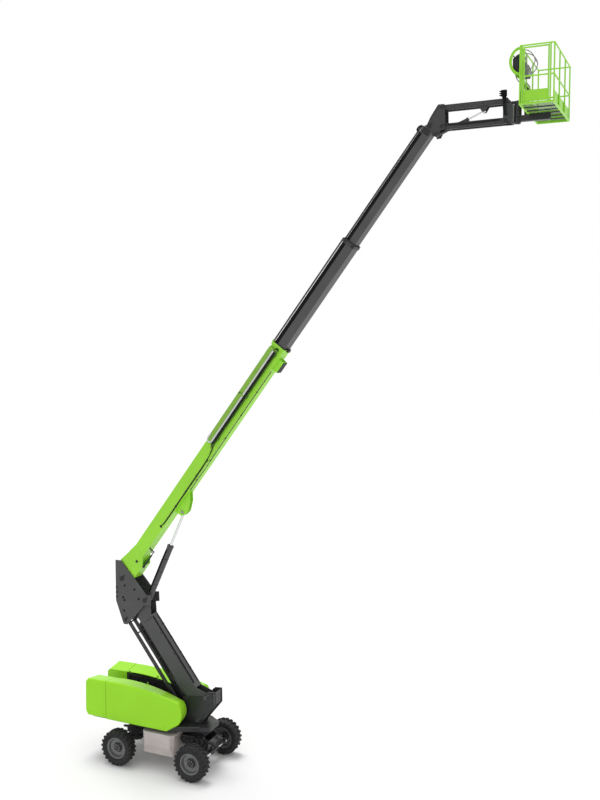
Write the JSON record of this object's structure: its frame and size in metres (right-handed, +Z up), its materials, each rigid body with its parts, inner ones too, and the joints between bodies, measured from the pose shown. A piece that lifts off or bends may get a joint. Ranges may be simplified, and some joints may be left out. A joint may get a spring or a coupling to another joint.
{
  "type": "articulated telescopic boom lift",
  "caption": "Self-propelled aerial work platform with a folding riser, telescopic main boom, parallelogram jib and guarded basket on a slewing turntable.",
  "frame": {"origin": "on the ground, midway between the wheels, below the centre of the slewing ring", "axes": "+X forward, +Y to the machine's left, +Z up"},
  "size_m": [12.988, 2.22, 18.5399],
  "materials": {
    "green_paint": "gloss",
    "dark_paint": "satin",
    "black_paint": "satin",
    "chassis_paint": "satin",
    "cast_weight": "painted",
    "cast_axle": "painted",
    "rim_paint": "satin",
    "tyre": "matte",
    "chrome_rod": "polished",
    "green_cover": "gloss",
    "black_plastic": "matte"
  },
  "bodies": {
    "chassis": {"chassis_frame": "chassis_paint", "front_axle": "cast_axle", "rear_axle": "cast_axle", "slewing_ring": "black_paint"},
    "left_knuckle": {"left_knuckle": "cast_axle"},
    "right_knuckle": {"right_knuckle": "cast_axle"},
    "tie_rod": {"tie_rod": "chrome_rod"},
    "turntable": {"turntable_frame": "black_paint", "counterweight": "cast_weight", "tail_cowls": "green_cover", "inner_panels": "black_paint", "engine": "black_paint", "tanks": "dark_paint"},
    "left_hood": {"left_hood": "green_cover"},
    "right_hood": {"right_hood": "green_cover"},
    "riser": {"riser": "dark_paint"},
    "timing_link": {"timing_link": "black_paint"},
    "riser_cylinder_barrel": {"riser_cylinder_barrel": "dark_paint"},
    "riser_cylinder_rod": {"riser_cylinder_rod": "chrome_rod"},
    "upright": {"upright": "dark_paint"},
    "lift_cylinder_barrel": {"lift_cylinder_barrel": "dark_paint"},
    "lift_cylinder_rod": {"lift_cylinder_rod": "chrome_rod"},
    "boom_base": {"boom_base": "green_paint", "hose_tray": "black_paint"},
    "boom_mid": {"boom_mid": "dark_paint", "mid_hose_rail": "dark_paint"},
    "boom_fly": {"boom_fly": "dark_paint", "fly_hose_rail": "dark_paint"},
    "jib_base": {"jib_base": "black_paint"},
    "jib_upper_arm": {"jib_upper_arm": "dark_paint"},
    "jib_lower_arm": {"jib_lower_arm": "dark_paint"},
    "jib_cylinder_barrel": {"jib_cylinder_barrel": "dark_paint"},
    "jib_cylinder_rod": {"jib_cylinder_rod": "chrome_rod"},
    "jib_head": {"jib_head": "black_paint"},
    "platform": {"platform_rotator": "black_paint", "platform_floor": "green_paint", "platform_rails": "green_paint", "toe_boards": "green_paint", "control_console": "black_plastic", "console_guard": "green_paint"},
    "platform_gate": {"platform_gate": "green_paint"},
    "front_left_wheel": {"front_left_tyre": "tyre", "front_left_rim": "rim_paint"},
    "front_right_wheel": {"front_right_tyre": "tyre", "front_right_rim": "rim_paint"},
    "rear_left_wheel": {"rear_left_tyre": "tyre", "rear_left_rim": "rim_paint"},
    "rear_right_wheel": {"rear_right_tyre": "tyre", "rear_right_rim": "rim_paint"}
  },
  "joints": [
    {"name": "steering", "type": "hinge", "parent": "chassis", "child": "left_knuckle", "pos_m": [1.2, 0.7, 0.5], "axis": [0, 0, 1], "range_deg": [-28, 28]},
    {"name": "right_steering", "type": "hinge", "parent": "chassis", "child": "right_knuckle", "pos_m": [1.2, -0.7, 0.5], "axis": [0, 0, 1], "range_deg": [-28, 28]},
    {"name": "tie_rod_travel", "type": "slide", "parent": "chassis", "child": "tie_rod", "axis": [0, 1, 0], "range_m": [-0.095, 0.095]},
    {"name": "front_left_wheel_spin", "type": "hinge", "parent": "left_knuckle", "child": "front_left_wheel", "pos_m": [1.2, 0.925, 0.5], "axis": [0, 1, 0], "continuous": true},
    {"name": "front_right_wheel_spin", "type": "hinge", "parent": "right_knuckle", "child": "front_right_wheel", "pos_m": [1.2, -0.925, 0.5], "axis": [0, 1, 0], "continuous": true},
    {"name": "rear_left_wheel_spin", "type": "hinge", "parent": "chassis", "child": "rear_left_wheel", "pos_m": [-1.2, 0.925, 0.5], "axis": [0, 1, 0], "continuous": true},
    {"name": "rear_right_wheel_spin", "type": "hinge", "parent": "chassis", "child": "rear_right_wheel", "pos_m": [-1.2, -0.925, 0.5], "axis": [0, 1, 0], "continuous": true},
    {"name": "slewing", "type": "hinge", "parent": "chassis", "child": "turntable", "pos_m": [0, 0, 1.13], "axis": [0, 0, 1], "continuous": true},
    {"name": "left_hood_open", "type": "hinge", "parent": "turntable", "child": "left_hood", "pos_m": [-0.5, 0.264, 2.225], "axis": [1, 0, 0], "range_deg": [0, 60]},
    {"name": "right_hood_open", "type": "hinge", "parent": "turntable", "child": "right_hood", "pos_m": [-0.5, -0.264, 2.225], "axis": [-1, 0, 0], "range_deg": [0, 60]},
    {"name": "riser_lift", "type": "hinge", "parent": "turntable", "child": "riser", "pos_m": [1.22, 0, 2.05], "axis": [0, 1, 0], "range_deg": [-52.65, 10]},
    {"name": "link_swing", "type": "hinge", "parent": "turntable", "child": "timing_link", "pos_m": [0.558, 0, 1.405], "axis": [0, 1, 0], "range_deg": [-52.65, 10]},
    {"name": "upright_level", "type": "hinge", "parent": "riser", "child": "upright", "pos_m": [-0.72624, 0, 4.60018], "axis": [0, -1, 0], "range_deg": [-52.65, 10]},
    {"name": "riser_cylinder_swing", "type": "hinge", "parent": "turntable", "child": "riser_cylinder_barrel", "pos_m": [0.95, 0, 1.345], "axis": [0, 1, 0], "range_deg": [-49.59, 9.5]},
    {"name": "riser_cylinder_stroke", "type": "slide", "parent": "riser_cylinder_barrel", "child": "riser_cylinder_rod", "axis": [-0.6353, 0, 0.7722], "range_m": [-0.65, 0.14]},
    {"name": "boom_lift", "type": "hinge", "parent": "upright", "child": "boom_base", "pos_m": [-1.49624, 0, 5.15018], "axis": [0, -1, 0], "range_deg": [-53, 15]},
    {"name": "lift_cylinder_swing", "type": "hinge", "parent": "upright", "child": "lift_cylinder_barrel", "pos_m": [-0.72624, 0, 4.60018], "axis": [0, -1, 0], "range_deg": [-56.28, 16]},
    {"name": "lift_cylinder_stroke", "type": "slide", "parent": "lift_cylinder_barrel", "child": "lift_cylinder_rod", "axis": [0.4203, 0, 0.9074], "range_m": [-0.84, 0.25]},
    {"name": "telescope", "type": "slide", "parent": "boom_base", "child": "boom_mid", "axis": [0.6018, 0, 0.7986], "range_m": [-2.95, 0]},
    {"name": "fly_extension", "type": "slide", "parent": "boom_mid", "child": "boom_fly", "axis": [0.6018, 0, 0.7986], "range_m": [-2.95, 0]},
    {"name": "jib_level", "type": "hinge", "parent": "boom_fly", "child": "jib_base", "pos_m": [7.50309, 0, 17.17578], "axis": [0, 1, 0], "range_deg": [-53, 15]},
    {"name": "jib_lift", "type": "hinge", "parent": "jib_base", "child": "jib_upper_arm", "pos_m": [7.80309, 0, 17.58578], "axis": [0, 1, 0], "range_deg": [-50, 37]},
    {"name": "jib_lower_swing", "type": "hinge", "parent": "jib_base", "child": "jib_lower_arm", "pos_m": [7.80309, 0, 17.14078], "axis": [0, 1, 0], "range_deg": [-50, 37]},
    {"name": "head_level", "type": "hinge", "parent": "jib_upper_arm", "child": "jib_head", "pos_m": [9.31303, 0, 17.59896], "axis": [0, -1, 0], "range_deg": [-50, 37]},
    {"name": "jib_cylinder_swing", "type": "hinge", "parent": "jib_base", "child": "jib_cylinder_barrel", "pos_m": [7.64009, 0, 16.96978], "axis": [0, 1, 0], "range_deg": [-34.1, 25.26]},
    {"name": "jib_cylinder_stroke", "type": "slide", "parent": "jib_cylinder_barrel", "child": "jib_cylinder_rod", "axis": [0.9237, 0, 0.3831], "range_m": [-0.31, 0.41]},
    {"name": "platform_turn", "type": "hinge", "parent": "jib_head", "child": "platform", "pos_m": [9.57304, 0, 17.59896], "axis": [0, 0, 1], "range_deg": [-90, 90]},
    {"name": "gate_swing", "type": "hinge", "parent": "platform", "child": "platform_gate", "pos_m": [10.44103, -1.093, 17.3], "axis": [0, 0, 1], "range_deg": [-90, 0]}
  ],
  "couplings": [
    {"joint": "right_steering", "follows": "steering", "ratio": 1},
    {"joint": "tie_rod_travel", "follows": "steering", "m_per_rad": 0.186},
    {"joint": "link_swing", "follows": "riser_lift", "ratio": 1},
    {"joint": "upright_level", "follows": "riser_lift", "ratio": 1},
    {"joint": "riser_cylinder_swing", "follows": "riser_lift", "ratio": 0.94},
    {"joint": "riser_cylinder_stroke", "follows": "riser_lift", "m_per_rad": 0.69},
    {"joint": "lift_cylinder_swing", "follows": "boom_lift", "ratio": 1.06},
    {"joint": "lift_cylinder_stroke", "follows": "boom_lift", "m_per_rad": 0.89},
    {"joint": "fly_extension", "follows": "telescope", "ratio": 1},
    {"joint": "jib_level", "follows": "boom_lift", "ratio": 1},
    {"joint": "jib_lower_swing", "follows": "jib_lift", "ratio": 1},
    {"joint": "head_level", "follows": "jib_lift", "ratio": 1},
    {"joint": "jib_cylinder_swing", "follows": "jib_lift", "ratio": 0.68},
    {"joint": "jib_cylinder_stroke", "follows": "jib_lift", "m_per_rad": -0.46}
  ]
}
